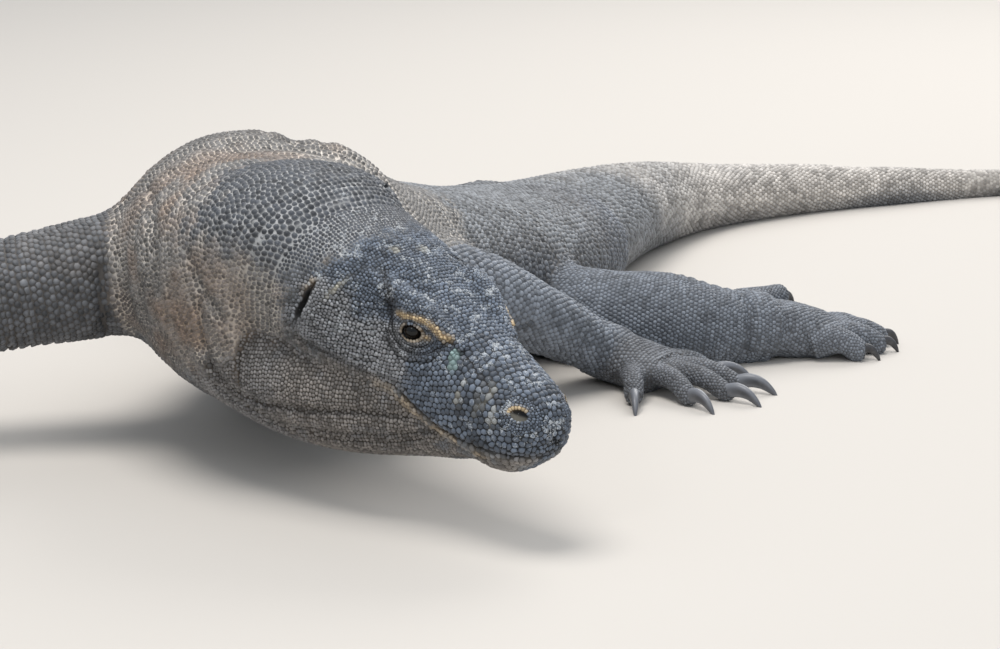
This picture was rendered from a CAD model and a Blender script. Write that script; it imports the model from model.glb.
"""A komodo dragon at rest, life size, finished as a still museum model.

Shapes are worked out in millimetres in the pose's own frame, whose origin is the point on the
floor that the camera looks at. place() moves them to the shared frame, in metres.
"""

import math

import bpy
import numpy as np
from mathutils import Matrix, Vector
from mathutils.kdtree import KDTree


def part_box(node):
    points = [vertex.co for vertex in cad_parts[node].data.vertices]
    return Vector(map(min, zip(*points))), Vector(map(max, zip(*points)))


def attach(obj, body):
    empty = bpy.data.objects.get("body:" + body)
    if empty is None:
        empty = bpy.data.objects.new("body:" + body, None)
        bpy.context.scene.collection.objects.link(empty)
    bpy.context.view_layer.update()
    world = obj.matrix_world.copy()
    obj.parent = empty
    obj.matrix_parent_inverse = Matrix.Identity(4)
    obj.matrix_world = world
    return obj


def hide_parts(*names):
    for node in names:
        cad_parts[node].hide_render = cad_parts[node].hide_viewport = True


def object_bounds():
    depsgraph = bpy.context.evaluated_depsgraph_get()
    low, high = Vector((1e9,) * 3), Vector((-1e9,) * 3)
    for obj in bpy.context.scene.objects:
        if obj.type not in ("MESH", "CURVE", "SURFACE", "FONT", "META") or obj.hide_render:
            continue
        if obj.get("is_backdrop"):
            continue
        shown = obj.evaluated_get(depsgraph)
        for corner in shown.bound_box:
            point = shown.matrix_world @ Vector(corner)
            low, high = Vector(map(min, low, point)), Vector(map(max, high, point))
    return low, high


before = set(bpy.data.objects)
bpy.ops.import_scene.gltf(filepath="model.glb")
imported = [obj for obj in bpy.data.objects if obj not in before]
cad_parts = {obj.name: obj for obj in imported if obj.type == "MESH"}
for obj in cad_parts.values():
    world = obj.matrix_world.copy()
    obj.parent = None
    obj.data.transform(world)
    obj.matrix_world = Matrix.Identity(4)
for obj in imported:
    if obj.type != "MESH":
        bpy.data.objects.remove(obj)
CAD_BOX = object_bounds()
RNG = np.random.default_rng(7)
MM = 0.001

# ---- driving dimensions, as in the part ------------------------------------------------
HEAD_LENGTH = 200.0
HEAD_BASE = np.array([-93.0, -515.0, 147.0])
HEAD_YAW = math.radians(-47.0)
HEAD_PITCH = math.radians(-22.0)
EYE_RADIUS = 7.6
HAND_CLAW = 30.0
FOOT_CLAW = 15.0
DEPTH = 1.4  # from the tips of the scales down to the skin
ROUND = 97  # places round a tube where the rows of scales are worked out


def head_axes():
    level = math.cos(HEAD_PITCH)
    ahead = np.array([level * math.cos(HEAD_YAW), level * math.sin(HEAD_YAW), math.sin(HEAD_PITCH)])
    right = np.cross(ahead, [0.0, 0.0, 1.0])
    right /= np.linalg.norm(right)
    return ahead, right, np.cross(right, ahead)


AHEAD, RIGHT, UP = head_axes()


def head_point(along, out=0.0, high=0.0):
    """A place on the head, over the head's length."""
    return HEAD_BASE + HEAD_LENGTH * (along * AHEAD + out * RIGHT + high * UP)


# Rows of x, y, z, half width, height above and depth below, from the ears to the tail's tip.
SPINE = [
    (*head_point(-0.075), 58, 47, 60),
    (*head_point(-0.235), 72, 55, 94),
    (-147, -446, 153, 84, 64, 104),
    (-163, -402, 143, 93, 70, 101),
    (-167, -350, 135, 100, 84, 95),
    (-150, -284, 115, 106, 78, 91),
    (-117, -205, 95, 110, 67, 86),
    (-72, -110, 76, 112, 60, 77),
    (-22, 0, 60, 100, 52, 61),
    (24, 92, 52, 84, 46, 53),
    (72, 200, 46, 60, 42, 47),
    (122, 300, 38, 42, 39, 39),
    (184, 387, 30, 31, 30, 31),
    (269, 451, 24, 23, 24, 25),
    (370, 500, 18, 16, 18, 19),
    (470, 538, 13.5, 11.5, 13.5, 14.5),
    (640, 580, 9.5, 8, 9.5, 10.5),
    (820, 595, 7, 6, 7, 8),
    (1000, 580, 5, 4.2, 5, 6),
    (1150, 535, 3, 2.6, 3, 4),
]
THROAT = [
    (26, -622, 74, 14, 10, 12),
    (-14, -594, 76, 26, 20, 27),
    (-48, -563, 80, 36, 26, 37),
    (-88, -531, 83, 44, 30, 47),
    (-124, -498, 89, 48, 34, 53),
    (-156, -462, 97, 50, 36, 52),
    (-182, -420, 108, 50, 40, 49),
]
# Rows over the head's length: along from the ears, half width, top, bottom.
HEAD = [
    (-0.075, 0.296, 0.252, 0.305),
    (0.04, 0.288, 0.256, 0.290),
    (0.15, 0.276, 0.256, 0.272),
    (0.27, 0.245, 0.246, 0.248),
    (0.38, 0.211, 0.225, 0.234),
    (0.50, 0.188, 0.198, 0.219),
    (0.62, 0.174, 0.179, 0.210),
    (0.74, 0.163, 0.162, 0.202),
    (0.84, 0.151, 0.149, 0.184),
    (0.91, 0.133, 0.134, 0.150),
    (0.96, 0.102, 0.104, 0.102),
    (0.99, 0.052, 0.056, 0.050),
]
BROW = [  # along, out, up, radius
    (0.2, 0.168, 0.165, 0.036),
    (0.31, 0.163, 0.18, 0.046),
    (0.42, 0.148, 0.178, 0.048),
    (0.53, 0.122, 0.154, 0.038),
    (0.62, 0.106, 0.134, 0.026),
]
MOUTH = [  # the line of the mouth and the fold behind it: along, up
    (0.02, -0.1),
    (0.1, -0.12),
    (0.23, -0.105),
    (0.37, -0.09),
    (0.45, -0.088),
    (0.53, -0.108),
    (0.66, -0.122),
    (0.75, -0.111),
    (0.84, -0.086),
    (0.93, -0.056),
    (0.985, -0.036),
    (1.05, -0.02),
]
EYE = (0.43, 0.146, 0.108)  # along, out, up
NOSTRIL = (0.913, 0.104, 0.082)
EAR = (0.055, 0.278, 0.01)
EAR_LEAN = 0.18
EAR_HEIGHT = 17.5
LID_RIDGE = [  # the raised edge of the brow plate over the eye: along, out, up
    (0.375, 0.178, 0.147), (0.395, 0.173, 0.144), (0.437, 0.18, 0.165), (0.471, 0.179, 0.178),
    (0.5, 0.17, 0.181), (0.533, 0.16, 0.17), (0.56, 0.15, 0.162), (0.58, 0.138, 0.165),
]
FACE_CREASES = [  # depth and width, then a path on each side of the face: along, out, up
    (2.6, 1.3, [(0.344, 0.205, 0.179), (0.352, 0.185, 0.135), (0.371, 0.187, 0.094), (0.405, 0.188, 0.062),
                (0.448, 0.182, 0.05), (0.498, 0.175, 0.061), (0.54, 0.166, 0.093), (0.565, 0.155, 0.125),
                (0.581, 0.144, 0.155)]),
    (2.0, 0.9, [(0.412, 0.185, 0.088), (0.442, 0.185, 0.077), (0.469, 0.172, 0.072), (0.503, 0.16, 0.091),
                (0.537, 0.157, 0.127), (0.563, 0.151, 0.157)]),
    (2.0, 1.2, [(0.363, 0.196, 0.076), (0.394, 0.198, 0.042), (0.44, 0.196, 0.024), (0.492, 0.187, 0.033),
                (0.538, 0.177, 0.056), (0.566, 0.167, 0.083)]),
    (1.8, 6.5, [(0.35, 0.2, 0.17), (0.335, 0.212, 0.1), (0.328, 0.222, 0.03), (0.35, 0.22, -0.03)]),
    (2.4, 2.8, [(0.25, 0.162, 0.219), (0.304, 0.194, 0.208), (0.344, 0.204, 0.19), (0.362, 0.198, 0.165)]),
    (1.0, 1.2, [(0.584, 0.14, 0.16), (0.611, 0.134, 0.15), (0.637, 0.133, 0.132)]),
    (0.7, 2.2, [(0.632, 0.125, 0.146), (0.72, 0.124, 0.126), (0.802, 0.128, 0.104), (0.851, 0.131, 0.087)]),
    (1.6, 1.7, [(0.055, 0.28, -0.12), (0.1, 0.27, -0.12), (0.232, 0.25, -0.104), (0.367, 0.22, -0.086),
                (0.463, 0.2, -0.064)]),
]
BODY_CREASES = [  # depth and width, then a path on the right shoulder, the throat or the ankle
    (3.0, 3.0, [(-207, -501, 165), (-203, -506, 159), (-197, -512, 144), (-191, -517, 136),
                (-182, -522, 124)]),
    (4.5, 5.0, [(-275, -403, 133), (-274, -405, 118), (-274, -403, 103), (-274, -391, 86)]),
    (3.0, 4.0, [(-242, -451, 134), (-241, -452, 121), (-240, -448, 110), (-241, -437, 96)]),
    (4.0, 5.0, [(-242, -397, 186), (-236, -434, 182), (-232, -463, 165), (-231, -471, 146),
                (-234, -466, 129)]),
    (3.4, 2.8, [(-199, -510, 134), (-197, -510, 117), (-195, -505, 97), (-183, -507, 77), (-169, -517, 70),
                (-155, -531, 69), (-141, -543, 70), (-125, -556, 71), (-101, -574, 75), (-76, -588, 77),
                (-61, -597, 77)]),
    (3.0, 2.4, [(-190, -497, 73), (-176, -505, 64), (-159, -520, 59), (-142, -534, 56), (-126, -548, 56),
                (-101, -567, 58), (-77, -582, 61), (-58, -596, 66), (-41, -609, 71)]),
    (2.4, 2.0, [(-158, -515, 53), (-138, -533, 51), (-118, -550, 51), (-97, -565, 53), (-74, -580, 56),
                (-51, -598, 63)]),
    (1.2, 2.2, [(-135, -552, 127), (-131, -554, 120), (-125, -557, 116)]),
    (2.6, 3.4, [(184, -148, 53), (189, -150, 49), (191, -157, 33), (188, -155, 14)]),
]
FACE_LOOK = np.array([0.59, 0.65, 0.48])  # the way the face creases go in: along, out, up
BODY_LOOK = np.array([0, math.cos(math.radians(13)), -math.sin(math.radians(13))])

LIMBS = {
    "right_arm": [
        (-190, -340, 135, 56, 54, 52),
        (-240, -354, 126, 47, 46, 46),
        (-300, -366, 115, 41, 42, 42),
        (-350, -374, 106, 37, 38, 38),
        (-396, -390, 94, 33, 34, 34),
        (-418, -432, 70, 29, 31, 30),
        (-434, -482, 42, 24, 22, 23),
        (-440, -505, 30, 24, 17, 19),
    ],
    "left_arm": [
        (-140, -350, 130, 54, 50, 50),
        (-100, -335, 116, 46, 44, 44),
        (-55, -304, 98, 38, 38, 38),
        (-8, -272, 80, 32, 33, 32),
        (32, -240, 58, 27, 26, 26),
        (66, -214, 36, 22, 20, 21),
        (86, -200, 27, 21, 16, 18),
    ],
    "left_leg": [
        (50, 70, 50, 54, 44, 46),
        (34, -4, 42, 46, 38, 41),
        (24, -80, 38, 38, 36, 39),
        (62, -124, 37, 37, 37, 38),
        (120, -136, 36, 35, 36, 37),
        (168, -134, 31, 30, 30, 32),
        (204, -122, 27, 26, 25, 28),
    ],
    "right_leg": [
        (-12, 100, 50, 54, 44, 46),
        (-72, 48, 42, 46, 38, 41),
        (-130, -4, 38, 38, 36, 39),
        (-176, 6, 37, 37, 37, 38),
        (-214, 50, 36, 35, 36, 37),
        (-240, 92, 31, 30, 30, 32),
        (-252, 128, 27, 26, 25, 28),
    ],
}
HAND = dict(palm=44, width=28, thick=1, toes=(44, 58, 66, 62, 46), fan=(-58, -26, -6, 12, 34),
            outer=0.62, girth=1, claw=HAND_CLAW)
FOOT = dict(palm=50, width=30, thick=1.4, toes=(40, 54, 62, 60, 52), fan=(-26, -12, 0, 12, 20),
            outer=-0.2, girth=1.25, claw=FOOT_CLAW)
PAWS = {
    "right_hand": dict(HAND, at=(-440, -503), heading=-100, first=-1, lift=0),
    "left_hand": dict(HAND, at=(84, -201), heading=-32, first=1, lift=0),
    "left_foot": dict(FOOT, at=(202, -122), heading=22, first=1, lift=28),
    "right_foot": dict(FOOT, at=(-252, 126), heading=100, first=-1, lift=0),
}
PALM_SHAPE = [(12, 0, 27, 0.74, 17, 18), (0, 0.4, 22, 0.92, 17, 21), (0, 1, 16, 1, 14, 17)]
TOE_STARTS = (0.66, 0.86, 0.94, 0.9)
TOE_SPREAD = 0.72
TOE_SHAPE = [(0, 15, 10), (0.3, 18, 9.2), (0.62, 16.5, 8.4), (0.9, 8.5, 7.8), (1, 7, 6.2)]
LIFTED_TOE = 13
CLAW_START = 0.92
CLAW_SHAPE = [
    (0, 10, 4.2, 5.4),
    (0.3, 12, 4.1, 5.2),
    (0.6, 10.4, 3.3, 4.2),
    (0.85, 5.8, 2.1, 2.6),
    (1, 1.6, 0.8, 0.9),
]
CLAW_GIRTH = 0.4


# ---- small maths ----------------------------------------------------------------------
def unit(v):
    return v / np.maximum(np.linalg.norm(v, axis=-1, keepdims=True), 1e-9)


def ramp(x, low, high):
    """A smooth step from 0 at low to 1 at high."""
    t = np.clip((x - low) / (high - low), 0, 1)
    return t * t * (3 - 2 * t)


def hill(x, middle, width):
    return np.exp(-(((x - middle) / width) ** 2))


def noise(p, size, seed=0):
    """Smooth value noise from -1 to 1 over lumps of the given size."""
    q = p / size + seed * 7.31
    cell = np.floor(q).astype(np.int64)
    f = q - cell
    f = f * f * (3 - 2 * f)
    total = np.zeros(len(p))
    for corner in np.ndindex(2, 2, 2):
        n = cell + corner
        key = (n[:, 0] * 73856093) ^ (n[:, 1] * 19349663) ^ (n[:, 2] * 83492791) ^ (seed * 2654435)
        key = ((key & 0xFFFFFFFF) * 2246822519) & 0xFFFFFFFF
        key = ((key ^ (key >> 13)) * 3266489917) & 0xFFFFFFFF
        value = ((key ^ (key >> 16)) & 0xFFFF) / 32767.5 - 1
        c = np.array(corner)
        total += value * np.prod(np.where(c, f, 1 - f), axis=1)
    return total


def smooth_rows(rows, count):
    """A Catmull-Rom curve through every row."""
    rows = np.asarray(rows, float)
    last = len(rows) - 1
    t = np.linspace(0, last, count)
    i = np.clip(t.astype(int), 0, last - 1)
    f = (t - i)[:, None]
    padded = np.vstack([2 * rows[0] - rows[1], rows, 2 * rows[-1] - rows[-2]])
    a, b, c, d = (padded[i + k] for k in range(4))
    bend = 2 * a - 5 * b + 4 * c - d
    twist = 3 * b - a - 3 * c + d
    return 0.5 * (2 * b + f * ((c - a) + f * (bend + f * twist)))


def soft_min(a, b, k):
    """The lower of two distances, with the crease between them filled over a width k."""
    h = np.clip(0.5 + 0.5 * (b - a) / k, 0, 1)
    return b + (a - b) * h - k * h * (1 - h)


def flattened(p, look):
    """Points squashed along one direction, so that a path need not lie quite on the skin."""
    look = look / np.linalg.norm(look)
    return p - 0.75 * np.outer(p @ look, look)


def path_gap(p, path, reach=14):
    """Distance from each point to a path, where it is under the reach."""
    gap = np.full(len(p), 99.0)
    near = np.flatnonzero(((p > path.min(0) - reach) & (p < path.max(0) + reach)).all(1))
    if not len(near):
        return gap
    q = p[near]
    for a, b in zip(path[:-1], path[1:]):
        t = np.clip((q - a) @ (b - a) / ((b - a) @ (b - a)), 0, 1)[:, None]
        gap[near] = np.minimum(gap[near], np.linalg.norm(q - a - t * (b - a), axis=1))
    return gap


class Sweep:
    """A tube of flesh through rows."""

    def __init__(self, rows, count=40, square=2.1):
        table = smooth_rows(rows, count)
        self.centre = table[:, :3]
        self.size = np.maximum(table[:, 3:6], 0.3)
        self.square = square
        self.along = unit(np.gradient(self.centre, axis=0))
        self.side = unit(np.cross(self.along, [0, 0, 1.0]))
        self.up = np.cross(self.side, self.along)
        steps = np.linalg.norm(np.diff(self.centre, axis=0), axis=1)
        self.arc = np.concatenate([[0], np.cumsum(steps)])
        reach = self.size.max(1)[:, None]
        self.low = (self.centre - reach).min(0)
        self.high = (self.centre + reach).max(0)

    def locate(self, p):
        """How far each point is outside the tube, its arc length and its angle round the tube."""
        near = (self.centre**2).sum(1)[None] - 2 * p @ self.centre.T
        last = len(self.centre) - 2
        i = np.clip(near.argmin(1), 1, last)
        s = ((p - self.centre[i]) * self.along[i]).sum(1)
        step = np.where(s > 0, self.arc[i + 1] - self.arc[i], self.arc[i] - self.arc[i - 1])
        f = np.clip(s / step, -1, 1)
        j = np.where(f > 0, i + 1, i - 1)
        g = np.abs(f)[:, None]

        def mix(v):
            return v[i] * (1 - g) + v[j] * g

        r = p - mix(self.centre)
        size = mix(self.size)
        x = (r * unit(mix(self.side))).sum(1)
        z = (r * unit(mix(self.up))).sum(1)
        rho = np.hypot(x, z) + 1e-6
        height = np.where(z > 0, size[:, 1], size[:, 2])
        q = self.square
        edge = ((np.abs(x) / rho / size[:, 0]) ** q + (np.abs(z) / rho / height) ** q) ** (-1 / q)
        d = rho - edge
        over = np.where(((i == 1) & (f <= -1)) | ((i == last) & (f >= 1)), np.abs(s) - step, 0)
        d = np.where(over > 0, np.where(d > 0, np.hypot(d, over), np.maximum(d, over)), d)
        return d, self.arc[i] + f * step, np.arctan2(z, x)

    def surface(self, angle):
        """Points all over the tube: a ring of them at each place along it."""
        x, z = np.cos(angle), np.sin(angle)
        height = np.where(z > 0, self.size[:, 1:2], self.size[:, 2:3])
        q = self.square
        radius = ((np.abs(x) / self.size[:, :1]) ** q + (np.abs(z) / height) ** q) ** (-1 / q)
        return (self.centre[:, None] + (x * radius)[..., None] * self.side[:, None]
                + (z * radius)[..., None] * self.up[:, None])


def paw_rows(paw):
    """Rows for the palm, and for each toe and its claw."""
    def way(degrees):
        return np.array([math.cos(math.radians(degrees)), math.sin(math.radians(degrees))])

    wrist, first, heading = np.array(paw["at"], float), paw["first"], paw["heading"]
    ahead, across = way(heading), way(heading + 90 * first)
    rows = [(*(wrist + (paw["palm"] * share - before) * ahead), high, paw["width"] * width,
             above * paw["thick"], below) for before, share, high, width, above, below in PALM_SHAPE]
    claw_girth = CLAW_GIRTH + (1 - CLAW_GIRTH) * paw["claw"] / HAND_CLAW
    toes, claws = [], []
    for i, (length, start) in enumerate(zip(paw["toes"], (*TOE_STARTS, paw["outer"]))):
        lift = paw["lift"] if i == 4 else 0
        turn = way(heading + first * paw["fan"][i])
        root = wrist + ahead * paw["palm"] * start + across * ((i - 2) / 2) * paw["width"] * TOE_SPREAD
        toes.append([(*(root + turn * length * share), LIFTED_TOE + lift if lift else high,
                      *([radius * paw["girth"]] * 3)) for share, high, radius in TOE_SHAPE])
        tip = root + turn * length * CLAW_START
        claws.append([(*(tip + turn * paw["claw"] * share), high + lift, w * claw_girth, h * claw_girth,
                       h * claw_girth) for share, high, w, h in CLAW_SHAPE])
    return rows, toes, claws


# ---- the flesh as one field of distances -----------------------------------------------
def build_sweeps():
    """Every tube of flesh, with the width over which it runs into what came before."""
    head_rows = [(*head_point(f), w * HEAD_LENGTH, t * HEAD_LENGTH, b * HEAD_LENGTH)
                 for f, w, t, b in HEAD]
    sweeps = {
        "spine": (Sweep(SPINE, 220, 2.2), 0),
        "throat": (Sweep(THROAT, 40), 14),
        "head": (Sweep(head_rows, 60, 2.4), 8),
    }
    for side in (-1, 1):
        rows = [(*head_point(f, side * r, u), *([size * HEAD_LENGTH] * 3)) for f, r, u, size in BROW]
        sweeps[f"brow_{side}"] = (Sweep(rows, 20), 6)
    for name, rows in LIMBS.items():
        sweeps[name] = (Sweep(rows, 44), 20)
    for name, paw in PAWS.items():
        rows, toes, _ = paw_rows(paw)
        sweeps[name] = (Sweep(rows, 12, 2.3), 15)
        for i, toe in enumerate(toes):
            tube = Sweep(toe, 16, 2.0)
            share = tube.arc / tube.arc[-1]
            tube.size *= np.sqrt(1 - (np.maximum(share - 0.86, 0) / 0.16) ** 2)[:, None]  # a round tip
            sweeps[f"{name}_toe_{i + 1}"] = (tube, 8)
    return sweeps


SWEEPS = build_sweeps()
NAMES = list(SWEEPS)
FAR = 40.0


def spine_folds(p, arc, angle):
    """Pleats and wrinkles of the neck and trunk: how far the skin sinks, in millimetres."""
    left = np.cos(angle)
    high = np.sin(angle)
    wander = 6 * noise(p, 45, 3)
    neck = ramp(arc, 40, 80) * (1 - ramp(arc, 190, 260))
    pleats = 2.6 * neck * ramp(left, -0.1, 0.6) * np.cos((arc + wander) * 2 * np.pi / 27)
    outer = 0.6 * neck * ramp(-left, 0.1, 0.8) * np.cos((arc + wander) * 2 * np.pi / 15)
    crease = 4.5 * hill(arc + 26 * high + wander, 168, 6) * ramp(-left, 0.2, 0.7) * (1 - ramp(high, 0.2, 0.8))
    degrees = np.degrees(angle)
    hump = ramp(arc, 120, 165) * (1 - ramp(arc, 235, 285))
    centre = 74 + 0.15 * (arc - 180)
    valley = hump * (6.5 * hill(degrees, centre, 9) + 3 * hill(degrees, centre - 13, 3.5)
                     + 1.5 * hill(degrees, centre + 15, 3))
    waist = ramp(arc, 240, 330) * (1 - ramp(arc, 640, 760))
    flank = ramp(np.abs(left), 0.45, 0.9)
    wrinkle = 0.9 * waist * flank * np.cos((arc + wander) * 2 * np.pi / 11 + 2 * noise(p, 60, 5))
    loose = 1.6 * waist * flank * noise(p * [1, 1, 0.5], 34, 8)
    hip = ramp(arc, 640, 700) * (1 - ramp(arc, 860, 960)) * ramp(high, -0.2, 0.3)
    hip = 1.1 * hip * np.cos((arc + 1.5 * wander) * 2 * np.pi / 19)
    return pleats + outer + crease + valley + wrinkle + loose + hip


def throat_folds(p, arc, angle):
    """Long folds that run with the lower edge of the throat pouch."""
    wander = 0.18 * noise(p, 40, 4)
    hang = ramp(-np.sin(angle), -0.35, 0.2) * ramp(arc, 20, 70) * ramp(np.cos(angle), -0.1, 0.3)
    return hang * (1.9 * np.cos((angle + wander) * 2 * np.pi / 0.36) + 0.5)


def limb_folds(p, arc, length):
    """Fine wrinkles across the joints of a limb, and loose skin all along it."""
    wander = 5 * noise(p, 30, 6)
    joint = hill(arc, 0.47 * length, 0.13 * length) + ramp(arc, 0.74 * length, 0.84 * length)
    return 0.55 * joint * np.cos((arc + wander) * 2 * np.pi / 9) + 0.8 * noise(p, 24, 7)


FACE_PATHS = [(depth, width, flattened(HEAD_LENGTH * np.array(path), FACE_LOOK))
              for depth, width, path in FACE_CREASES]
BODY_PATHS = [(depth, width, flattened(np.array(path, float), BODY_LOOK))
              for depth, width, path in BODY_CREASES]
RIDGE_PATH = flattened(HEAD_LENGTH * np.array(LID_RIDGE), FACE_LOOK)


def sink_along(p, paths):
    """How far the skin sinks along a set of creases."""
    return sum(depth * np.exp(-((path_gap(p, path) / width) ** 2)) for depth, width, path in paths)


def head_local(p):
    r = p - HEAD_BASE
    return r @ AHEAD / HEAD_LENGTH, r @ RIGHT / HEAD_LENGTH, r @ UP / HEAD_LENGTH


def opening_axes(gaze, rise):
    """Across an opening, up it and out of it, each as along, out, up."""
    gaze, rise = unit(np.array(gaze)), np.array(rise)
    rise = unit(rise - (rise @ gaze) * gaze)
    return np.cross(gaze, rise), rise, gaze


EYE_AXES = opening_axes([0.5, 0.84, 0.24], [-0.16, -0.12, 1.0])
NOSTRIL_AXES = opening_axes([0.42, 0.72, 0.55], [-0.3, -0.4, 1.0])
EYE_HALF = (6.2, 4.5, 4.8)  # half its width and height, and the mean of the two, in millimetres
NOSTRIL_HALF = (5.9, 3.9, 4.5)


def eye_local(f, side, u):
    """Millimetres across, up and out of the eye."""
    q = HEAD_LENGTH * (np.stack([f, side, u], -1) - np.array(EYE))
    return tuple(q @ axis for axis in EYE_AXES)


def eye_opening(across, rise):
    """Distance outside the almond between the lids, in millimetres."""
    return (np.hypot((across - 0.4) / EYE_HALF[0], rise / EYE_HALF[1]) - 1) * EYE_HALF[2]


def ear_local(f, side, u):
    """Millimetres before the ear slit, up it, and out of it."""
    tall = (u - EAR[2]) * HEAD_LENGTH
    return (f - EAR[0]) * HEAD_LENGTH - EAR_LEAN * tall, tall, (side - EAR[1]) * HEAD_LENGTH


def nostril_local(f, side, u):
    """Millimetres across, up and out of the nostril."""
    q = HEAD_LENGTH * (np.stack([f, side, u], -1) - np.array(NOSTRIL))
    return tuple(q @ axis for axis in NOSTRIL_AXES)


def nostril_opening(across, rise):
    """Distance outside the nostril's oval, in millimetres."""
    return (np.hypot((across - 0.4) / NOSTRIL_HALF[0], rise / NOSTRIL_HALF[1]) - 1) * NOSTRIL_HALF[2]


def head_features(p, d):
    """Sockets, lids, nostrils, ear slits, lips and the folds of the face, on the skin."""
    f, r, u = head_local(p)
    side = np.abs(r)
    local = HEAD_LENGTH * np.stack([f, side, u], 1)
    d = d - 0.6 * ramp(f, -0.1, 0.1)  # the scales of the face are low
    mouth = np.interp(f, [row[0] for row in MOUTH], [row[1] for row in MOUTH])
    below = (u - mouth) * HEAD_LENGTH
    on_side = ramp(side, 0.02, 0.07)
    lip = ramp(f, 0.4, 0.5) * np.where(f > 0.9, 1, on_side)
    d = d + 2.6 * hill(below, 0, 1.3) * lip
    d = d + 1.3 * hill(below, -9, 5) * lip
    d = d - 0.8 * hill(below, 4, 2.8) * lip
    d = d - 0.6 * hill(below, -3.2, 2) * lip

    # The eye sits in a bowl under the brow, between thin lids.
    across, rise, out = eye_local(f, side, u)
    ball = np.sqrt(across**2 + rise**2 + out**2)
    beside = ramp(out, -3, 2)
    d = d + 2.4 * hill(np.hypot(across / 1.25, rise), 10.5, 4.5) * beside
    lid = np.abs(ball - EYE_RADIUS - 0.8) - 0.9
    d = np.where(ball < 26, soft_min(d, lid + 8 * (1 - beside), 2.4), d)
    opening = eye_opening(across, rise)
    d = d - 0.5 * hill(opening, 1.0, 0.8) * beside
    d = np.where(ball < 16, np.maximum(d, -np.maximum(opening, -out)), d)
    d = np.where(ball < 16, np.maximum(d, EYE_RADIUS + 0.12 - ball), d)
    flat = flattened(local, FACE_LOOK)
    ridge = path_gap(flat, RIDGE_PATH)
    knobs = 1 + 0.3 * noise(local, 3.2, 31)
    d = d - 1.5 * np.exp(-((ridge / 1.7) ** 2)) * knobs * ramp(opening, -0.2, 0.8)
    d = d + sink_along(flat, FACE_PATHS) * ramp(opening, 0.2, 1.6)

    # The nostril: a pit with a deeper slit at its top and a raised rim.
    across, rise, out = nostril_local(f, side, u)
    away = nostril_opening(across, rise)
    pit = np.sqrt((across / 6.2) ** 2 + (rise / 4.3) ** 2 + (out / 4.4) ** 2)
    slit = np.sqrt(((across + 1) / 4.2) ** 2 + ((rise - 1.6) / 1.5) ** 2 + (out / 9) ** 2)
    d = d - 0.9 * hill(away, 1.4, 1.6) * (np.abs(out) < 14)
    d = np.where(pit < 3, np.maximum(d, (1 - pit) * 4), d)
    d = np.where(slit < 3, np.maximum(d, (1 - slit) * 1.5), d)

    # The ear: a slit, widest low down, with the cheek standing proud before it.
    lean, tall, deep = ear_local(f, side, u)
    wide = 1.4 + 2.2 * (1 - ramp(tall, -12, 16))
    hole = np.sqrt((lean / wide) ** 2 + (tall / EAR_HEIGHT) ** 2 + (deep / 11) ** 2)
    by_ear = ramp(side, 0.15, 0.24)
    d = d - 1.5 * hill(lean, 10, 7) * hill(tall, -2, 24) * by_ear
    d = d + 1.6 * hill(lean, -6, 5) * hill(tall, 0, 20) * by_ear
    d = np.where(hole < 2.5, np.maximum(d, (1 - hole) * 2.4), d)

    # Fine rows of wrinkles on the temple and cheek, and lumps of bone and muscle.
    temple = ramp(f, 0.08, 0.13) * (1 - ramp(f, 0.34, 0.42)) * on_side * ramp(u, -0.13, -0.08)
    row = (u - 0.24 * f) * HEAD_LENGTH + 2.5 * noise(p, 22, 9)
    d = d + 0.4 * temple * np.cos(row * 2 * np.pi / 4.6)
    return d + 0.6 * noise(p, 17, 11) * (ball > 15)


def flesh(p, owners=False, chunk=60000):
    """Distance to the tips of the scales, negative inside; with owners, also to the nearest tube."""
    if len(p) > chunk:
        parts = [flesh(p[k:k + chunk], owners) for k in range(0, len(p), chunk)]
        if owners:
            return tuple(np.concatenate(column) for column in zip(*parts))
        return np.concatenate(parts)
    total = np.full(len(p), FAR)
    nearest_tube, owner = np.full(len(p), FAR), np.zeros(len(p), int)
    for k, name in enumerate(NAMES):
        sweep, blend = SWEEPS[name]
        inside = np.flatnonzero(((p > sweep.low - 30) & (p < sweep.high + 30)).all(1))
        if not len(inside):
            continue
        q = p[inside]
        d, arc, angle = sweep.locate(q)
        if name in ("spine", "throat"):
            close = np.flatnonzero(np.abs(d) < 14)
            folds = spine_folds if name == "spine" else throat_folds
            d[close] += folds(q[close], arc[close], angle[close])
        elif name in LIMBS:
            close = np.flatnonzero(np.abs(d) < 14)
            d[close] += limb_folds(q[close], arc[close], sweep.arc[-1])
        closer = d < nearest_tube[inside]
        nearest_tube[inside[closer]] = d[closer]
        owner[inside[closer]] = k
        total[inside] = soft_min(total[inside], d, blend) if blend else np.minimum(total[inside], d)
    f, r, u = head_local(p)
    close = np.flatnonzero((np.abs(total) < 26) & (f > -0.14) & (f < 1.1)
                           & (np.abs(r) < 0.42) & (np.abs(u) < 0.42))
    if len(close):
        total[close] = head_features(p[close], total[close] + DEPTH) - DEPTH
    close = np.flatnonzero(np.abs(total) < 12)
    if len(close):
        q = p[close]
        total[close] += 0.9 * noise(q, 38, 1) * ramp(-f[close], -0.05, 0.2)
        total[close] += sink_along(flattened(q, BODY_LOOK), BODY_PATHS)
    total = np.maximum(total, -p[:, 2])
    return (total, nearest_tube, owner) if owners else total


def skin_gap(p):
    """Distance to the skin, which lies under the tips of the scales."""
    return flesh(p) + DEPTH


def slope(p, eps=0.3):
    """The gap to the skin and the way out of it at each point."""
    kite = np.array([(1, -1, -1), (-1, -1, 1), (-1, 1, -1), (1, 1, 1)], float)
    values = skin_gap((p[None] + kite[:, None] * eps).reshape(-1, 3)).reshape(4, -1)
    return values.mean(0), np.einsum("kn,kc->nc", values, kite) / (4 * eps)


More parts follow.
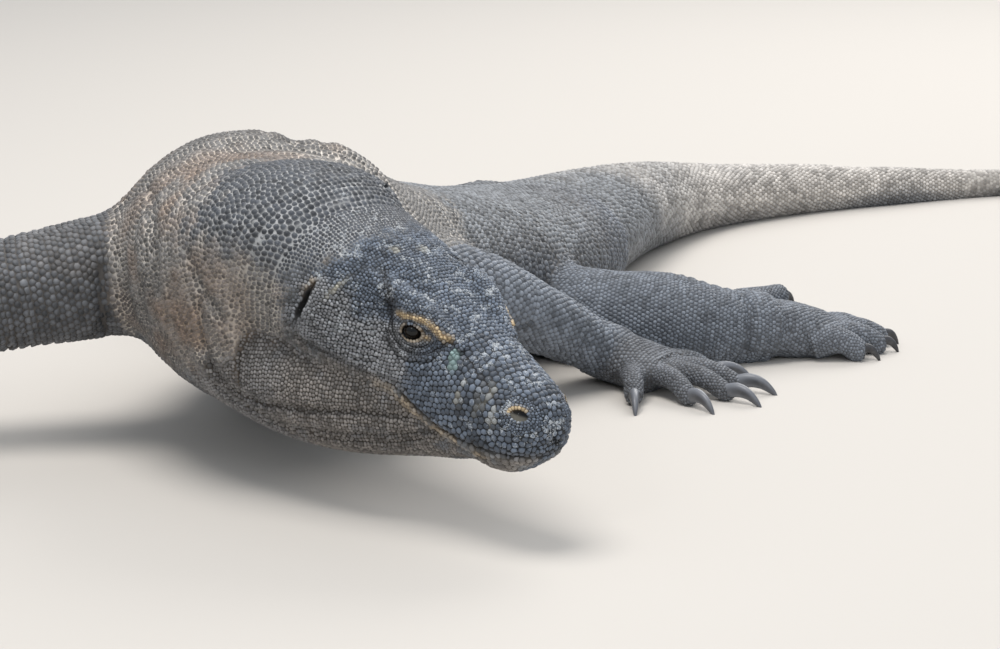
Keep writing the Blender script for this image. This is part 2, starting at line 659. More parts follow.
def onto_skin(p, rounds=3, most=2.5):
    """Move points onto the skin; also give the way out of it where they were last."""
    p = p.copy()
    for _ in range(rounds):
        d, g = slope(p)
        step = d / np.maximum((g * g).sum(1), 0.25)
        p -= g * np.clip(step, -most, most)[:, None]
    return p, unit(g)


# ---- the skin's mesh -------------------------------------------------------------------
GRID = 4.0
COARSE = 4


def sample_grid():
    """Distances on a grid, worked out only where the skin passes."""
    low = np.min([s.low for s, _ in SWEEPS.values()], 0) - 2 * GRID * COARSE
    high = np.max([s.high for s, _ in SWEEPS.values()], 0) + 2 * GRID * COARSE
    low[2] = -GRID * COARSE
    cells = np.ceil((high - low) / (GRID * COARSE)).astype(int)
    axes = [low[k] + GRID * COARSE * np.arange(cells[k] + 1) for k in range(3)]
    points = np.stack(np.meshgrid(*axes, indexing="ij"), -1).reshape(-1, 3)
    rough = flesh(points).reshape(cells + 1) + DEPTH
    corners = [rough[i:cells[0] + i, j:cells[1] + j, k:cells[2] + k] for i, j, k in np.ndindex(2, 2, 2)]
    live = np.min(np.abs(corners), 0) < 1.3 * GRID * COARSE
    fine = cells * COARSE + 1
    values = np.full(fine, FAR)
    inside = rough[:-1, :-1, :-1] < 0
    for axis in range(3):
        inside = np.repeat(inside, COARSE, axis)
        live = np.repeat(live, COARSE, axis)
    values[:-1, :-1, :-1][inside] = -FAR
    wanted = np.zeros(fine, bool)
    for i, j, k in np.ndindex(2, 2, 2):
        wanted[i:fine[0] - 1 + i, j:fine[1] - 1 + j, k:fine[2] - 1 + k] |= live
    index = np.argwhere(wanted)
    values[wanted] = skin_gap(low + GRID * index)
    return low, values


def net(low, values):
    """A mesh of quads over the grid: one point in each cell that the skin crosses."""
    n = np.array(values.shape) - 1
    inside = values < 0
    count = sum(inside[i:n[0] + i, j:n[1] + j, k:n[2] + k].astype(np.int8)
                for i, j, k in np.ndindex(2, 2, 2))
    cell = np.argwhere((count > 0) & (count < 8))
    number = np.full(n, -1)
    number[tuple(cell.T)] = np.arange(len(cell))
    total, hits = np.zeros((len(cell), 3)), np.zeros(len(cell))
    for axis in range(3):
        step = np.eye(3, dtype=int)[axis]
        for corner in np.ndindex(2, 2, 2):
            if corner[axis]:
                continue
            a = cell + corner
            va, vb = values[tuple(a.T)], values[tuple((a + step).T)]
            cross = (va < 0) != (vb < 0)
            t = np.where(cross, va / np.where(cross, va - vb, 1), 0)
            total += np.where(cross[:, None], np.array(corner) + t[:, None] * step, 0)
            hits += cross
    points = low + GRID * (cell + total / hits[:, None])
    quads = []
    for axis in range(3):
        step = np.eye(3, dtype=int)[axis]
        b, c = np.eye(3, dtype=int)[(axis + 1) % 3], np.eye(3, dtype=int)[(axis + 2) % 3]
        view = [slice(1, None)] * 3
        view[axis] = slice(0, -1)
        ahead = [slice(1, None)] * 3
        here, there = inside[tuple(view)], inside[tuple(ahead)]
        edge = np.argwhere(here != there) + 1 - step
        edge = edge[(edge < n).all(1)]
        starts_in = inside[tuple(edge.T)]
        loop = np.stack([number[tuple((edge - o).T)] for o in (b + c, c, 0 * b, b)], 1)
        quads.append(np.where(starts_in[:, None], loop, loop[:, ::-1]))
    quads = np.vstack(quads)
    return points, quads[(quads >= 0).all(1)]


def triangles(points, quads):
    """Quads cut along their shorter diagonal."""
    a, b, c, d = (points[quads[:, k]] for k in range(4))
    first = (np.linalg.norm(a - c, axis=1) <= np.linalg.norm(b - d, axis=1))[:, None]
    one = np.where(first, quads[:, [0, 1, 2]], quads[:, [0, 1, 3]])
    two = np.where(first, quads[:, [0, 2, 3]], quads[:, [1, 2, 3]])
    return np.vstack([one, two])


def wanted_length(p):
    """How long an edge of the skin may be at each place, in millimetres."""
    f, r, u = head_local(p)
    length = np.full(len(p), 6.5)
    face = (f > -0.15) & (f < 1.1) & (np.abs(r) < 0.4) & (np.abs(u) < 0.4)
    length[face] = 2.6
    side = np.abs(r)
    for spot, reach, fine in ((EYE, 0.13, 1.2), (EYE, 0.085, 0.7), (NOSTRIL, 0.06, 1.0), (EAR, 0.11, 1.3)):
        away = np.sqrt((f - spot[0]) ** 2 + (side - spot[1]) ** 2 + (u - spot[2]) ** 2)
        length[face & (away < reach)] = fine
    neck = SWEEPS["throat"][0]
    close = ((p > neck.low - 20) & (p < neck.high + 20)).all(1) & ~face
    length[close] = 4.2
    for name in PAWS:
        for tube in [name] + [f"{name}_toe_{i}" for i in range(1, 6)]:
            sweep = SWEEPS[tube][0]
            close = ((p > sweep.low - 4) & (p < sweep.high + 4)).all(1)
            length[close] = np.minimum(length[close], 3.6)
    return length


def split_long(points, tris):
    """Split each edge that is longer than wanted, keeping the mesh closed."""
    edges = np.sort(np.vstack([tris[:, [0, 1]], tris[:, [1, 2]], tris[:, [2, 0]]]), 1)
    unique, back = np.unique(edges, axis=0, return_inverse=True)
    back = back.reshape(3, -1).T
    a, b = points[unique[:, 0]], points[unique[:, 1]]
    cut = np.linalg.norm(a - b, axis=1) > wanted_length((a + b) / 2)
    fresh = np.full(len(unique), -1)
    fresh[cut] = len(points) + np.arange(cut.sum())
    points = np.vstack([points, (a[cut] + b[cut]) / 2])
    mid = fresh[back]
    many = (mid >= 0).sum(1)
    out = [tris[many == 0]]
    for k in range(3):
        i, j, o = k, (k + 1) % 3, (k + 2) % 3
        one = (many == 1) & (mid[:, i] >= 0)
        t, m = tris[one], mid[one, i]
        out += [np.stack([t[:, i], m, t[:, o]], 1), np.stack([m, t[:, j], t[:, o]], 1)]
        two = (many == 2) & (mid[:, k] < 0)
        t, m1, m2 = tris[two], mid[two, j], mid[two, o]
        out += [np.stack([m1, t[:, o], m2], 1), np.stack([t[:, i], t[:, j], m1], 1),
                np.stack([t[:, i], m1, m2], 1)]
    t, m = tris[many == 3], mid[many == 3]
    out += [np.stack([t[:, 0], m[:, 0], m[:, 2]], 1), np.stack([m[:, 0], t[:, 1], m[:, 1]], 1),
            np.stack([m[:, 2], m[:, 1], t[:, 2]], 1), m]
    return points, np.vstack(out), cut.any()


def relax(points, tris, share=0.5):
    """Move each point towards the mean of its neighbours."""
    total, count = np.zeros_like(points), np.zeros(len(points))
    for i, j in ((0, 1), (1, 2), (2, 0)):
        for a, b in ((i, j), (j, i)):
            np.add.at(total, tris[:, a], points[tris[:, b]])
            np.add.at(count, tris[:, a], 1)
    return points + share * (total / count[:, None] - points)


def skin_mesh():
    points, quads = net(*sample_grid())
    tris = triangles(points, quads)
    points, _ = onto_skin(relax(points, tris), 2)
    for _ in range(3):
        points, tris, changed = split_long(points, tris)
        if not changed:
            break
        fine = wanted_length(points) < 6
        moved, _ = onto_skin(relax(points, tris, 0.3)[fine], 2)
        points[fine] = moved
    return points, tris


# ---- markings --------------------------------------------------------------------------
# Each marking: its name, the colour of a scale there and the colour between the scales. A later
# marking lies over an earlier one.
BASE = ((0.160, 0.169, 0.180), (0.108, 0.106, 0.101))
LAYERS = [
    ("warm", (0.44, 0.415, 0.385), (0.31, 0.280, 0.247)),
    ("limb", (0.098, 0.101, 0.108), (0.086, 0.079, 0.073)),
    ("cool", (0.140, 0.156, 0.181), (0.094, 0.100, 0.110)),
    ("hump", (0.112, 0.109, 0.106), (0.66, 0.610, 0.550)),
    ("throat", (0.180, 0.175, 0.173), (0.042, 0.036, 0.031)),
    ("rust", (0.145, 0.108, 0.086), (0.52, 0.400, 0.305)),
    ("nape", (0.042, 0.047, 0.056), (0.36, 0.362, 0.362)),
    ("slate", (0.094, 0.114, 0.146), (0.016, 0.018, 0.021)),
    ("ash", (0.205, 0.209, 0.218), (0.022, 0.022, 0.023)),
    ("brown", (0.185, 0.166, 0.148), (0.050, 0.042, 0.034)),
    ("dark", (0.036, 0.036, 0.038), (0.012, 0.011, 0.011)),
    ("orange", (0.46, 0.350, 0.205), (0.20, 0.138, 0.078)),
    ("teal", (0.25, 0.350, 0.338), (0.14, 0.200, 0.195)),
    ("cream", (0.42, 0.400, 0.330), (0.26, 0.240, 0.195)),
]
FLECK_COLOUR = (0.37, 0.39, 0.405, 1)
MARKS = tuple(row[0] for row in LAYERS) + ("fleck",)


def spot(away, size):
    return 1 - ramp(away, size * 0.6, size)


def markings(p):
    """Masks from 0 to 1, the same for the skin and for the scales that stand on it."""
    f, r, u = head_local(p)
    side = np.abs(r)
    near = ((side < 0.5) & (np.abs(u) < 0.5) & (f < 1.2)).astype(float)
    face = near * ramp(f, -0.12, 0.08)
    gap, arc, angle = SWEEPS["spine"][0].locate(p)
    back = ramp(-gap, -16, -4)
    high = np.sin(angle)
    right = -np.cos(angle)
    patch = noise(p, 32, 21) + 0.5 * noise(p, 13, 22)
    mottle = noise(p, 9, 27) + 0.5 * noise(p, 4.5, 28)

    arms = np.zeros(len(p))
    for name in LIMBS:
        arms = np.maximum(arms, ramp(7 * mottle - SWEEPS[name][0].locate(p)[0], -24, 4))
    for name in PAWS:
        sweep = SWEEPS[name][0]
        reach = np.linalg.norm(p - sweep.centre[len(sweep.centre) // 2], axis=1)
        arms = np.maximum(arms, 1 - ramp(reach, 110, 150))
    front = 1 - ramp(arc + 40 * patch, 245, 410)
    flank = ramp(high - 0.35 * ramp(arc, 100, 190), -1.0, -0.6)
    hump = back * front * flank
    limb = np.maximum(arms * (1 - 0.9 * hump * ramp(high, 0.2, 0.7)), front * (1 - flank))
    limb = np.maximum(limb, 0.5 * back * (1 - ramp(high, -0.6, -0.1)))
    top = ramp(high, -0.35, 0.45)
    nape = np.maximum(near * ramp(f, -0.4, -0.2), back * (1 - ramp(arc, 20, 115))) * top * front
    nape = nape * ramp(patch, -2.2, -0.6)
    rust = hump * hill(arc, 78, 75) * ramp(right, -0.7, 0.2) * ramp(patch, -0.5, 0.5)
    rust = np.maximum(rust, 0.55 * hump * ramp(patch, 0.2, 0.9)) * (1 - 0.8 * nape)
    warm = ramp(arc + 70 * patch, 600, 1100) * back * ramp(noise(p, 90, 26) + high * 0.5, -0.5, 0.5)

    mouth = np.interp(f, [row[0] for row in MOUTH], [row[1] for row in MOUTH])
    below = (mouth - u) * HEAD_LENGTH
    jaw = near * ramp(f, -0.1, 0.1) * ramp(below, -4, 6) * ramp(side, 0.0, 0.06)
    under = near * ramp(-f, -0.1, 0.2) * (1 - top)
    pouch = SWEEPS["throat"][0].locate(p)[0]
    throat = ramp(-pouch, -7, 0) * (1 - ramp(high, 0.0, 0.4) * back) * (1 - ramp(f, 0.5, 0.7))
    brown = np.clip(jaw + 0.4 * under, 0, 1) * ramp(mottle + 0.35, -0.6, 0.5)
    lip = near * ramp(f, 0.3, 0.5) * ramp(below, 0.3, 2.0) * (1 - ramp(below, 6.5, 12))
    lip = lip * (1 - ramp(f, 0.8, 0.92))
    orange = 0.42 * lip * ramp(mottle, -0.8, 0.6)

    local = HEAD_LENGTH * np.stack([f, side, u], 1)
    across, rise, out = eye_local(f, side, u)
    around = eye_opening(across, rise)
    beside = near * ramp(out, -4, 0)
    rim = beside * hill(around, 0.6, 1.5)
    ridge = near * np.exp(-((path_gap(flattened(local, FACE_LOOK), RIDGE_PATH) / 2.1) ** 2))
    corner = beside * hill(across, 10.5, 3) * hill(rise, -0.5, 1.8)
    orange = np.maximum(orange, 1.3 * ridge * ramp(mottle, -1.0, -0.2))
    orange = np.maximum(orange, np.maximum(0.55 * rim, 0.9 * corner) * ramp(mottle, -1.1, 0.0))
    across, rise, out = nostril_local(f, side, u)
    hole = near * (side > 0.03) * (np.abs(out) < 9)
    rim = hill(nostril_opening(across, rise), 0.9, 1.3)
    orange = np.maximum(orange, 0.9 * hole * rim * ramp(rise - 0.5 * across, 0.5, 3.5))
    orange = np.maximum(orange, 0.8 * near * hill(ear_local(f, side, u)[0], -4, 3.5) * hill(u, 0.1, 0.06)
                        * (side > 0.15) * ramp(mottle, -0.4, 0.4))
    cream = 0.8 * hole * ramp(-nostril_opening(across, rise), -0.6, 0.6) * ramp(-rise, -1.2, 0.8)
    lean = (f - 0.150) * HEAD_LENGTH - 0.35 * (u - 0.11) * HEAD_LENGTH
    cream = np.maximum(cream, near * hill(lean, 0, 1.5) * hill(u, 0.115, 0.035) * (side > 0.15))
    for spot_f, spot_r, size in ((0.184, 0.063, 6), (0.205, -0.03, 4), (0.784, 0.133, 5), (0.7, 0.168, 3.5),
                                 (0.85, 0.15, 3)):
        away = np.hypot(f - spot_f, (r if spot_f < 0.5 else side) - spot_r) * HEAD_LENGTH
        above = ramp(u, 0.2, 0.22) if spot_f < 0.5 else ramp(u, -0.02, 0.03)
        pale = 0.6 * near * above * spot(away + 3 * mottle, size) * ramp(mottle, -0.9, 0.1)
        cream = np.maximum(cream, pale)
    away = np.hypot((f - 0.626) * HEAD_LENGTH + 0.35 * (u - 0.105) * HEAD_LENGTH,
                    (u - 0.105) * HEAD_LENGTH / 1.8)
    teal = 0.85 * near * (side > 0.1) * spot(away + 1.6 * mottle, 4.2)

    crown = face * ramp(u, 0.13, 0.2) * ramp(f, 0.0, 0.1)
    snout = face * ramp(f, 0.55, 0.7) * ramp(u - mouth, 0.0, 0.04)
    fleck = crown * (0.8 + 0.2 * patch) + snout * (0.72 - 0.25 * ramp(u, 0.1, 0.15) + 0.2 * patch)
    fleck = np.maximum(fleck, 0.42 * face * (1 - jaw)) + 0.35 * near * ramp(f, -0.4, -0.1) * top
    fleck = np.maximum(fleck, 0.75 * near * hill(u, 0.06, 0.05) * hill(f, 0.62, 0.1) * (side > 0.1))
    cool = np.zeros(len(p))
    for name in ("left_arm", "left_leg"):
        cool = np.maximum(cool, ramp(-SWEEPS[name][0].locate(p)[0], -8, 2))
    for name in ("left_hand", "left_foot"):
        sweep = SWEEPS[name][0]
        away = np.linalg.norm(p - sweep.centre[len(sweep.centre) // 2], axis=1)
        cool = np.maximum(cool, (0.75 if name == "left_foot" else 0.35) * (1 - ramp(away, 110, 130)))
    cool = cool * (1 - front * back)
    slate = near * ramp(f - 0.1 * ramp(u, 0.06, 0.2), -0.14, 0.1) * (1 - 0.7 * under) * (1 - 0.85 * jaw)
    ash = slate * (1 - ramp(f, 0.42, 0.58)) * (1 - ramp(u, 0.08, 0.17)) * ramp(patch, -1.2, 0.2)
    deep = face * sum(np.exp(-((path_gap(flattened(local, FACE_LOOK), path) / (1.2 * width)) ** 2))
                      for _, width, path in FACE_PATHS if width < 5)
    deep = np.maximum(deep, face * hill(below, 0, 1.8) * ramp(f, 0.4, 0.5) * (1 - 0.6 * ramp(f, 0.9, 0.95)))
    squashed = flattened(p, BODY_LOOK)
    deep = np.maximum(deep, sum(min(0.45, 1.3 / width) * np.exp(-((path_gap(squashed, path) / width) ** 2))
                                for _, width, path in BODY_PATHS))
    deep = np.maximum(deep, 0.5 * back * front * ramp(spine_folds(p, arc, angle), 1.2, 4.5))
    _, pouch_arc, pouch_angle = SWEEPS["throat"][0].locate(p)
    deep = np.maximum(deep, 0.6 * throat * ramp(throat_folds(p, pouch_arc, pouch_angle), 0.4, 2.2))
    slate, ash, nape, throat, hump = (ramp(mask + 1.6 * mask * (1 - mask) * mottle, 0.2, 0.8)
                                      for mask in (slate, ash, nape, throat, hump))
    masks = dict(warm=warm, limb=limb, cool=cool, hump=hump, throat=throat, rust=rust, nape=nape,
                 slate=slate, ash=ash, brown=0.8 * brown, dark=0.75 * np.clip(deep, 0, 1),
                 orange=orange, teal=teal, cream=cream, fleck=fleck)
    return {name: np.clip(value, 0, 1) for name, value in masks.items()}


def shade(p):
    """Slow changes of brightness over the hide, about 0.5."""
    return 0.5 + 0.16 * noise(p, 26, 31) + 0.16 * noise(p, 9, 32)


# ---- making meshes ---------------------------------------------------------------------
def place(p):
    """Pose millimetres to the frame's metres."""
    return (np.asarray(p) + SHIFT) * MM


def frame_shift():
    low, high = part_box("right_eye")
    middle = (np.array(low) + np.array(high)) / 2 / MM
    return middle - head_point(*EYE)


def add_mesh(name, points, faces):
    """A mesh object from an array of points in pose millimetres and equal-sided faces."""
    faces = np.asarray(faces)
    mesh = bpy.data.meshes.new(name)
    mesh.vertices.add(len(points))
    mesh.vertices.foreach_set("co", place(points).astype(np.float32).ravel())
    sides = faces.shape[1]
    mesh.loops.add(faces.size)
    mesh.loops.foreach_set("vertex_index", faces.astype(np.int32).ravel())
    mesh.polygons.add(len(faces))
    mesh.polygons.foreach_set("loop_start", np.arange(0, faces.size, sides, dtype=np.int32))
    mesh.update(calc_edges=True)
    mesh.validate()
    mesh.shade_smooth()
    piece = bpy.data.objects.new(name, mesh)
    bpy.context.collection.objects.link(piece)
    return piece


def add_values(piece, **values):
    """Values on a mesh's points, for its material to read."""
    for name, value in values.items():
        layer = piece.data.attributes.new(name, "FLOAT", "POINT")
        layer.data.foreach_set("value", np.asarray(value, np.float32))


# ---- scales ----------------------------------------------------------------------------
SIDES = 7
SINK = 0.4


def nearest(points, count):
    tree = KDTree(len(points))
    for k, point in enumerate(points.tolist()):
        tree.insert(point, k)
    tree.balance()
    found = np.zeros((len(points), count), int)
    for k, point in enumerate(points.tolist()):
        hits = tree.find_n(point, count + 1)
        found[k] = [hit[1] for hit in hits if hit[1] != k][:count]
    return found


def by(places, values):
    """A value that follows the arc length along a tube."""
    return lambda arc: float(np.interp(arc, places, values))


def even(value):
    return by([0, 1], [value, value])


class Coat:
    """How the scales of one tube are laid: spacing, stretch along it, height, fill and shape."""

    def __init__(self, pitch, stretch=1.0, height=1.1, fill=0.9, flat=0.68, stray=0.1, lean=0.06, back=1,
                 capped=False, dense=0.0):
        self.pitch = pitch if callable(pitch) else even(pitch)
        self.stretch = stretch if callable(stretch) else even(stretch)
        self.height, self.fill, self.flat, self.stray = height, fill, flat, stray
        self.lean, self.back, self.capped, self.dense = lean, back, capped, dense

    def finer(self, angle, arc):
        """How many times closer the scales are low on the neck than on its top."""
        return 1 + self.dense * ramp(-np.sin(angle), -0.4, 0.3) * (1 - ramp(arc, 110, 220))


def coats():
    ear, end = 0.075 * HEAD_LENGTH, HEAD_LENGTH
    face = [ear + f * end for f in (-0.075, 0.08, 0.34, 0.46, 0.6, 0.72, 0.94, 1.0)]
    head = by(face, [3.2, 2.65, 2.6, 3.1, 4.0, 4.7, 4.4, 3.6])
    rows = by(face, [1.0, 1.12, 1.2, 1.0, 1.0, 1.0, 1.0, 1.0])
    spine = by([0, 60, 110, 170, 300, 450, 800, 1080, 1400, 2030],
               [4.6, 4.6, 4.3, 3.8, 3.9, 4.8, 4.8, 4.1, 3.4, 2.7])
    laid = {
        "spine": Coat(spine, 1.0, 1.35, 0.98, 0.62, 0.14, dense=0.35),
        "throat": Coat(2.9, 1.0, 1.15, 0.95, 0.6, 0.18, back=-1),
        "head": Coat(head, rows, 1.0, 0.96, 0.66, 0.24, 0.04, back=-1, capped=True),
        "brow_1": Coat(2.8, 1.0, 0.95, 0.96, 0.66, 0.24, back=-1),
        "brow_-1": Coat(2.8, 1.0, 0.95, 0.96, 0.66, 0.24, back=-1),
        "right_arm": Coat(by([0, 150, 330], [5.2, 5.0, 3.6]), 0.9, 1.2, 0.95, 0.7, 0.1, 0.16),
        "left_arm": Coat(by([0, 150, 330], [5.0, 4.7, 3.5]), 0.9, 1.1, 0.97, 0.72, 0.1, 0.16),
        "left_leg": Coat(by([0, 150, 330], [3.9, 3.6, 3.3]), 1.0, 0.85, 0.96, 0.7, 0.1, 0.12),
        "right_leg": Coat(by([0, 150, 330], [4.5, 4.3, 3.6]), 1.0, 1.0, 0.92, 0.66, 0.1, 0.12),
    }
    for name in PAWS:
        laid[name] = Coat(3.3, 0.95, 0.9, 0.96, 0.7, 0.12, 0.12)
        for i in range(1, 6):
            laid[f"{name}_toe_{i}"] = Coat(2.9, 0.9, 0.8, 0.96, 0.72, 0.1, 0.14)
    return laid


def tube_rows(sweep, coat):
    """Rows round a tube, kept evenly apart where it bends by ending some rows part way round.

    Each row gives its points, which of them are to be used, their arc lengths and angles.
    """
    angle = np.linspace(0, 2 * np.pi, ROUND)
    surface = sweep.surface(angle)
    apart = np.array([coat.pitch(arc) * coat.stretch(arc) * 0.9 for arc in sweep.arc])
    forward = np.maximum(np.einsum("mjc,mc->mj", np.diff(surface, axis=0), sweep.along[:-1]), 0)
    forward *= coat.finer(angle[None], sweep.arc[:-1, None]) / apart[:-1, None]
    last = len(sweep.arc) - 1
    for start in range(0, last, 8):
        end = min(start + 8, last)
        phase = np.vstack([np.zeros(ROUND), np.cumsum(forward[start:end], axis=0)])
        whole = np.round(phase[-1])
        phase = phase / np.maximum(phase[-1], 1e-6) * whole
        for k in range(int(whole.max())):
            used = k < whole
            place = np.array([np.interp(k + 0.5, phase[:, j], np.arange(len(phase))) for j in range(ROUND)])
            low = np.minimum(place.astype(int), len(phase) - 2)
            share = (place - low)[:, None]
            column = np.arange(ROUND)
            row = surface[start + low, column] * (1 - share) + surface[start + low + 1, column] * share
            arc = np.interp(start + place, np.arange(last + 1), sweep.arc)
            yield row, used, arc, angle
    if coat.capped:
        for share in (0.8, 0.55, 0.3, 0.1):
            row = sweep.centre[-1] + (surface[-1] - sweep.centre[-1]) * share
            row = row + 12 * (1 - share) * sweep.along[-1]
            yield row, np.ones(ROUND, bool), np.full(ROUND, sweep.arc[-1]), angle


COLUMNS = ("point", "tube", "pitch", "height", "fill", "flat", "lean", "heading", "uv")


def lay(name, coat):
    """Starting places for the scales of one tube."""
    sweep = SWEEPS[name][0]
    parts = {key: [] for key in COLUMNS}
    for number, (row, used, arc, angle) in enumerate(tube_rows(sweep, coat)):
        middle = float(arc[used].mean())
        pitch = coat.pitch(middle)
        finer = coat.finer(angle, middle)
        length = np.concatenate([[0], np.cumsum(finer[1:] * np.linalg.norm(np.diff(row, axis=0), axis=1))])
        count = max(3, int(round(length[-1] * coat.stretch(middle) / pitch)))
        spots = (np.arange(count) + 0.5 * (number % 2)) / count * length[-1]
        column = np.interp(spots, length, np.arange(ROUND))
        spots = spots[used[np.round(column).astype(int)]]
        n = len(spots)
        ring = np.stack([np.interp(spots, length, row[:, k]) for k in range(3)], 1)
        ring = ring + RNG.normal(0, coat.stray * pitch * 0.5, ring.shape)
        at = np.interp(spots, length, arc)
        gap = pitch / np.interp(spots, length, finer)
        along = np.stack([np.interp(at, sweep.arc, sweep.along[:, k]) for k in range(3)], 1)
        turn = np.interp(spots, length, angle) / (2 * np.pi)
        values = (ring, np.full(n, NAMES.index(name)), gap,
                  coat.height * np.minimum(1, gap / 3.6), np.full(n, coat.fill), np.full(n, coat.flat),
                  np.full(n, coat.lean), along * coat.back, np.stack([at / sweep.arc[-1], turn], 1))
        for key, value in zip(COLUMNS, values):
            parts[key].append(value)
    return parts


def scatter(skin):
    """Where every scale stands: rows round each tube, moved onto the skin, then its bare places."""
    columns = {key: [] for key in COLUMNS}
    for name, coat in coats().items():
        for key, values in lay(name, coat).items():
            columns[key] += values
    for side in (-1, 1):
        for key, values in opening_rings(side).items():
            columns[key] += values
    scales = {key: np.concatenate(value) for key, value in columns.items()}
    start, tube = scales["point"], scales["tube"]
    moved, normal = onto_skin(start, 4, 4)
    total, nearest_tube, owner = flesh(moved, owners=True)
    late = np.flatnonzero(np.abs(total + DEPTH) > 0.25)
    moved[late], normal[late] = onto_skin(moved[late], 5, 1.5)
    total[late] = flesh(moved[late])
    ringed = tube >= len(NAMES)
    face_tubes = [NAMES.index(k) for k in ("head", "brow_1", "brow_-1")]
    own = (owner == tube) | ringed | (np.isin(owner, face_tubes) & np.isin(tube, face_tubes))
    spare = np.full(len(moved), FAR)
    for k, name in enumerate(NAMES):
        stray = np.flatnonzero((tube == k) & ~own)
        spare[stray] = SWEEPS[name][0].locate(moved[stray])[0] - nearest_tube[stray]
    keep = (own | (spare < 10)) & (np.linalg.norm(moved - start, axis=1) < 12)
    keep &= (np.abs(total + DEPTH) < 0.4) & ~in_openings(moved) & (ringed | ~in_rings(moved))
    scales["point"], scales["normal"] = moved, normal
    scales["spare"] = np.where(own, -1, spare)
    scales = {key: value[keep] for key, value in scales.items()}
    order = np.argsort(scales["spare"], kind="stable")
    scales = thin_out({key: value[order] for key, value in scales.items()})
    for reach in (0.8, 0.72):
        scales = fill_bare(scales, skin, reach)
    return scales


def fill_bare(scales, skin, reach):
    """Add a scale like its neighbour wherever the skin's own points are far from any scale."""
    tree = KDTree(len(scales["point"]))
    for k, point in enumerate(scales["point"].tolist()):
        tree.insert(point, k)
    tree.balance()
    hits = [tree.find(point) for point in skin.tolist()]
    like = np.array([hit[1] for hit in hits])
    away = np.array([hit[2] for hit in hits])
    bare = (away > reach * scales["pitch"][like]) & ~in_openings(skin, 1.2)
    bare &= (skin[:, 2] > 1.5) & ~in_rings(skin)
    extra = {key: value[like[bare]] for key, value in scales.items()}
    extra["point"] = skin[bare]
    extra["normal"] = unit(slope(extra["point"])[1])
    extra["pitch"] = 0.85 * extra["pitch"]
    extra["height"] = 0.8 * extra["height"]
    extra["spare"] = 1 - 0.01 * away[bare]
    order = np.argsort(extra["spare"], kind="stable")
    return thin_out({key: np.concatenate([scales[key], extra[key][order]]) for key in scales})


# Rings of small scales round each eye and nostril: how far out each ring is, in millimetres.
EYE_RINGS = np.arange(1.3, 9.8, 1.65)
NOSTRIL_RINGS = np.arange(0.9, 5.2, 1.9)


def in_rings(p):
    """Whether a place is among the rings of small scales round an eye or a nostril."""
    f, r, u = head_local(p)
    across, rise, out = eye_local(f, np.abs(r), u)
    eye = (eye_opening(across, rise) < EYE_RINGS[-1] + 0.9) & (out > -3) & (out < 16)
    across, rise, out = nostril_local(f, np.abs(r), u)
    return eye | ((nostril_opening(across, rise) < NOSTRIL_RINGS[-1] + 0.8) & (out > -8) & (out < 12))


def opening_rings(side):
    """Starting places for the small scales in rings round one eye and one nostril."""
    parts = {key: [] for key in COLUMNS}
    axes = np.stack([AHEAD, side * RIGHT, UP])
    for spot, frame_axes, half, rings, pitch in ((EYE, EYE_AXES, EYE_HALF, EYE_RINGS, 1.9),
                                                 (NOSTRIL, NOSTRIL_AXES, NOSTRIL_HALF, NOSTRIL_RINGS, 2.1)):
        fore, rise, gaze = (axis @ axes for axis in frame_axes)
        middle = head_point(spot[0], side * spot[1], spot[2])
        for number, away in enumerate(rings):
            wide, high = half[0] * (1 + away / half[2]), half[1] * (1 + away / half[2])
            n = int(round(np.pi * (wide + high) / pitch))
            turn = 2 * np.pi * (np.arange(n) + 0.5 * (number % 2)) / n
            x, y = 0.4 + wide * np.cos(turn), high * np.sin(turn)
            ring = middle + np.outer(x, fore) + np.outer(y, rise) + 18 * gaze
            ring = ring + RNG.normal(0, 0.12, ring.shape)
            for _ in range(30):
                ring = ring - 0.7 * skin_gap(ring)[:, None] * gaze
            heading = unit(np.outer(x, fore) + np.outer(y, rise))
            _, arc, angle = SWEEPS["head"][0].locate(ring)
            uv = np.stack([np.clip(arc / SWEEPS["head"][0].arc[-1], 0, 1), angle / (2 * np.pi) % 1], 1)
            values = (ring, np.full(n, len(NAMES)), np.full(n, pitch), np.full(n, 0.45), np.full(n, 0.97),
                      np.full(n, 0.7), np.full(n, 0.0), heading, uv)
            for key, value in zip(COLUMNS, values):
                parts[key].append(value)
    return parts


def in_openings(p, wider=1.0):
    """Whether a place is in an eye's opening, an ear slit or a nostril, where no scale grows."""
    f, r, u = head_local(p)
    side = np.abs(r)
    across, rise, out = eye_local(f, side, u)
    eye = (eye_opening(across, rise) < 1.1) & (out > 0) & (out < 14)
    lean, tall, deep = ear_local(f, side, u)
    ear = (np.hypot(lean / 4.2, tall / (EAR_HEIGHT + 1)) < wider) & (np.abs(deep) < 16)
    across, rise, out = nostril_local(f, side, u)
    return eye | ear | ((nostril_opening(across, rise) < 0.4) & (np.abs(out) < 10))


def thin_out(scales):
    """Drop a scale that crowds an earlier one."""
    points, pitch = scales["point"], scales["pitch"]
    near = nearest(points, 12)
    away = np.linalg.norm(points[near] - points[:, None], axis=2)
    filler = (scales["spare"][near] >= 0) | (scales["spare"][:, None] >= 0)
    crowded = away < np.where(filler, 0.82, 0.6) * np.minimum(pitch[:, None], pitch[near])
    dropped = np.zeros(len(points), bool)
    for k in np.flatnonzero(crowded.any(1)):
        if not dropped[k]:
            for other in near[k][crowded[k]]:
                if other > k:
                    dropped[other] = True
    return {key: value[~dropped] for key, value in scales.items()}


